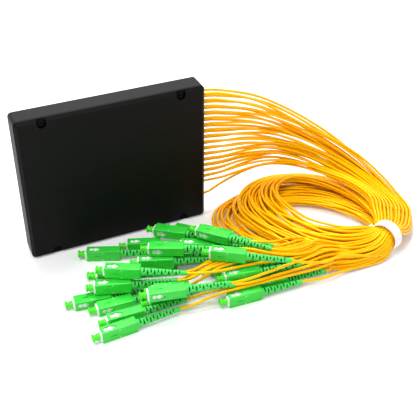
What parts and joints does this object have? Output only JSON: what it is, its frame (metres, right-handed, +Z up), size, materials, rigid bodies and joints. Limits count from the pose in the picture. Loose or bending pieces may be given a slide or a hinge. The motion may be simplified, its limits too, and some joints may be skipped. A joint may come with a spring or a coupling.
{
  "type": "plc fibre splitter",
  "caption": "Black box-type PLC fibre splitter with a coil of yellow pigtails and green SC/APC connectors.",
  "frame": {"origin": "centre of the box's underside, on the surface that it stands on", "axes": "+X along the box towards the cable outlet, +Y from the cover to the back wall, +Z up"},
  "size_m": [0.2876, 0.1315, 0.115],
  "materials": {
    "shell_plastic": "moulded, fine grain",
    "cover_plastic": "moulded, smooth matt",
    "screw_steel": "blackened",
    "cable_block_plastic": "moulded",
    "chip_metal": "satin",
    "chip_rubber": "matt",
    "clip_plastic": "moulded",
    "ribbon": "smooth",
    "foam": "foam",
    "fibre": "smooth",
    "cable_yellow": "extruded sheath",
    "tie_white": "smooth",
    "grip_green": "moulded",
    "body_white": "moulded",
    "ferrule_ceramic": "polished",
    "boot_green": "soft moulded",
    "cap_green": "moulded"
  },
  "bodies": {
    "splitter": {"base_shell": "shell_plastic", "cover": "cover_plastic", "cover_screws": "screw_steel", "cable_block": "cable_block_plastic", "splitter_chip": "chip_metal", "chip_boot_input": "chip_rubber", "chip_boot_output": "chip_rubber", "chip_clips": "clip_plastic", "ribbon_fan": "ribbon", "foam_pad": "foam", "fibre_loop": "fibre", "input_body": "body_white", "input_boot": "boot_green", "output_grips": "grip_green", "output_bodies": "body_white", "output_ferrules": "ferrule_ceramic", "output_boots": "boot_green", "output_dust_caps": "cap_green", "cable_input": "cable_yellow", "cable_row16_front": "cable_yellow", "cable_row16_back": "cable_yellow", "cable_row15_front": "cable_yellow", "cable_row15_back": "cable_yellow", "cable_row14_front": "cable_yellow", "cable_row14_back": "cable_yellow", "cable_row13_front": "cable_yellow", "cable_row13_back": "cable_yellow", "cable_row12_front": "cable_yellow", "cable_row12_back": "cable_yellow", "cable_row11_front": "cable_yellow", "cable_row11_back": "cable_yellow", "cable_row10_front": "cable_yellow", "cable_row10_back": "cable_yellow", "cable_row9_front": "cable_yellow", "cable_row9_back": "cable_yellow", "cable_row8_front": "cable_yellow", "cable_row8_back": "cable_yellow", "cable_row7_front": "cable_yellow", "cable_row7_back": "cable_yellow", "cable_row6_front": "cable_yellow", "cable_row6_back": "cable_yellow", "cable_row5_front": "cable_yellow", "cable_row5_back": "cable_yellow", "cable_row4_front": "cable_yellow", "cable_row4_back": "cable_yellow", "cable_row3_front": "cable_yellow", "cable_row3_back": "cable_yellow", "cable_row2_front": "cable_yellow", "cable_row2_back": "cable_yellow", "cable_row1_front": "cable_yellow", "cable_row1_back": "cable_yellow", "cable_coil": "cable_yellow", "coil_tie": "tie_white"},
    "input_grip_body": {"input_grip": "grip_green"},
    "input_cap_body": {"input_dust_cap": "cap_green"},
    "input_ferrule_body": {"input_ferrule": "ferrule_ceramic"}
  },
  "joints": [
    {"name": "input_grip_slide", "type": "slide", "parent": "splitter", "child": "input_grip_body", "axis": [0.9397, -0.342, 0], "range_m": [0, 0.0012]},
    {"name": "input_cap_pull", "type": "slide", "parent": "splitter", "child": "input_cap_body", "axis": [-0.9397, 0.342, 0], "range_m": [0, 0.012]},
    {"name": "input_ferrule_float", "type": "slide", "parent": "splitter", "child": "input_ferrule_body", "axis": [0.9397, -0.342, 0], "range_m": [0, 0.001], "stiffness_N_per_m": 1500}
  ]
}
